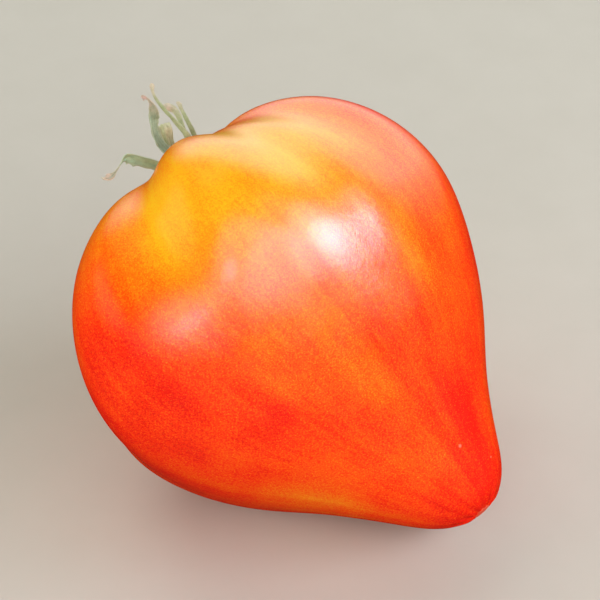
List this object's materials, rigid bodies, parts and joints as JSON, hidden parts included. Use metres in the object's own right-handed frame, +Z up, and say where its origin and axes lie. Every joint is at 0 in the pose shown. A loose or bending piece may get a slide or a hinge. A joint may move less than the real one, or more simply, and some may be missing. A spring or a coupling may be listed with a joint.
{
  "type": "heart-shaped tomato",
  "caption": "Ripe heart-shaped tomato lying on its side, with peel, flesh, core, seed chambers, seeds and a dried calyx that pulls off.",
  "frame": {"origin": "middle of the settled flat that the fruit rests on, on the ground", "axes": "+Z up, +X along the ground from the stem end towards the nose"},
  "size_m": [0.0943, 0.0951, 0.0938],
  "materials": {
    "skin": "waxy ripe tomato peel, golden at the shoulders and red at the belly",
    "flesh": "moist tomato flesh",
    "core": "pale firm core",
    "gel": "clear seed gel",
    "seeds": "downy tomato seed",
    "cork": "dry corky scar",
    "calyx": "dried green calyx",
    "stalk": "dried ridged stalk",
    "sepals": "dried curled sepal"
  },
  "bodies": {
    "fruit": {"skin": "skin", "flesh": "flesh", "core": "core", "gel_1": "gel", "gel_2": "gel", "gel_3": "gel", "gel_4": "gel", "gel_5": "gel", "gel_6": "gel", "seeds_1": "seeds", "seeds_2": "seeds", "seeds_3": "seeds", "seeds_4": "seeds", "seeds_5": "seeds", "seeds_6": "seeds", "stem_scar": "cork", "blossom_scar": "cork"},
    "calyx": {"calyx_disc": "calyx", "stalk": "stalk"},
    "sepal_1": {"sepal_1": "sepals"},
    "sepal_2": {"sepal_2": "sepals"},
    "sepal_3": {"sepal_3": "sepals"},
    "sepal_4": {"sepal_4": "sepals"},
    "sepal_5": {"sepal_5": "sepals"},
    "sepal_6": {"sepal_6": "sepals"},
    "sepal_7": {"sepal_7": "sepals"}
  },
  "joints": [
    {"name": "calyx_pull", "type": "slide", "parent": "fruit", "child": "calyx", "axis": [-0.9026, 0, 0.4305], "range_m": [0, 0.03]},
    {"name": "sepal_1_flex", "type": "hinge", "parent": "calyx", "child": "sepal_1", "pos_m": [-0.02273, -0.01117, 0.06969], "axis": [-0.3365, -0.6239, -0.7054], "range_deg": [-5, 6], "stiffness_Nm_per_rad": 0.0001},
    {"name": "sepal_2_flex", "type": "hinge", "parent": "calyx", "child": "sepal_2", "pos_m": [-0.02202, -0.00773, 0.07118], "axis": [0, -1, 0], "range_deg": [-5, 6], "stiffness_Nm_per_rad": 0.0001},
    {"name": "sepal_3_flex", "type": "hinge", "parent": "calyx", "child": "sepal_3", "pos_m": [-0.02273, -0.00429, 0.06969], "axis": [0.3365, -0.6239, 0.7054], "range_deg": [-5, 6], "stiffness_Nm_per_rad": 0.0001},
    {"name": "sepal_4_flex", "type": "hinge", "parent": "calyx", "child": "sepal_4", "pos_m": [-0.02433, -0.00344, 0.06633], "axis": [0.4198, 0.2215, 0.8802], "range_deg": [-5, 6], "stiffness_Nm_per_rad": 0.0001},
    {"name": "sepal_5_flex", "type": "hinge", "parent": "calyx", "child": "sepal_5", "pos_m": [-0.02562, -0.00582, 0.06363], "axis": [0.1874, 0.9003, 0.3928], "range_deg": [-5, 6], "stiffness_Nm_per_rad": 0.0001},
    {"name": "sepal_6_flex", "type": "hinge", "parent": "calyx", "child": "sepal_6", "pos_m": [-0.02562, -0.00963, 0.06363], "axis": [-0.186, 0.9018, -0.39], "range_deg": [-5, 6], "stiffness_Nm_per_rad": 0.0001},
    {"name": "sepal_7_flex", "type": "hinge", "parent": "calyx", "child": "sepal_7", "pos_m": [-0.02434, -0.01202, 0.06632], "axis": [-0.4195, 0.225, -0.8795], "range_deg": [-5, 6], "stiffness_Nm_per_rad": 0.0001}
  ]
}
